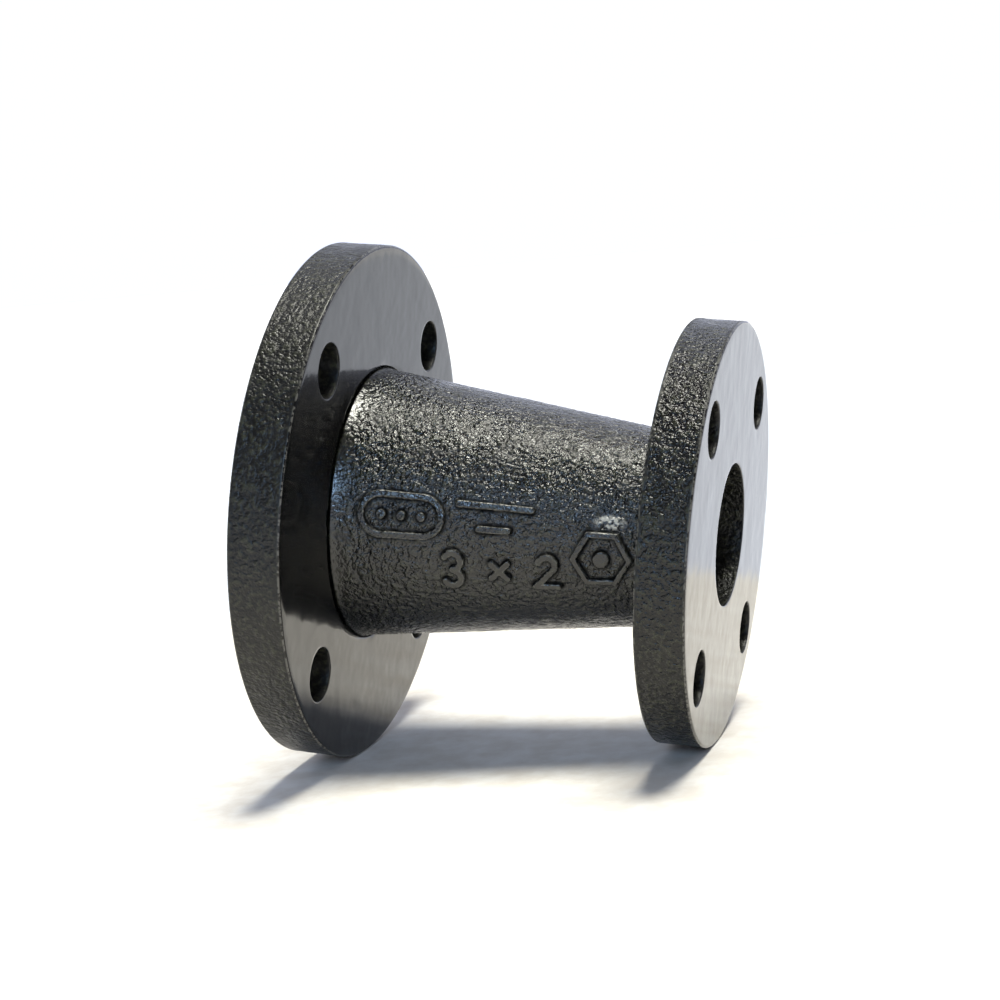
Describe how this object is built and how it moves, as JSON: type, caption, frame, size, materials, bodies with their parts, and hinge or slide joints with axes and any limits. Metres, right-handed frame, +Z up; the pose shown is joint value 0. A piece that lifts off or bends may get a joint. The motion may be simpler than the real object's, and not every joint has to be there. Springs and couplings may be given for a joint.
{
  "type": "flanged concentric reducer",
  "caption": "Cast-iron pipe reducer: a tapered barrel between a large and a small flat-faced flange, with a straight-through flow passage.",
  "frame": {"origin": "centre of the large flange's sealing face, on the flow axis", "axes": "+X along the flow axis from the large end to the small end; +Z up with the fitting on its side; the bolt holes of both flanges straddle Y and Z, and the cast marks face -Y"},
  "size_m": [0.1524, 0.1906, 0.1906],
  "materials": {
    "flange_iron": "black lacquered cast iron: smooth satin faces, grainy rims",
    "barrel_skin": "coarse glossy sand-cast skin, black",
    "cast_marks": "raised cast marks in the barrel's own black skin"
  },
  "bodies": {
    "root": {"large_flange": "flange_iron", "reducing_barrel": "barrel_skin", "small_flange": "flange_iron", "frame_mark": "cast_marks", "bar_mark": "cast_marks", "size_numerals": "cast_marks", "hexagon_mark": "cast_marks"}
  },
  "joints": []
}
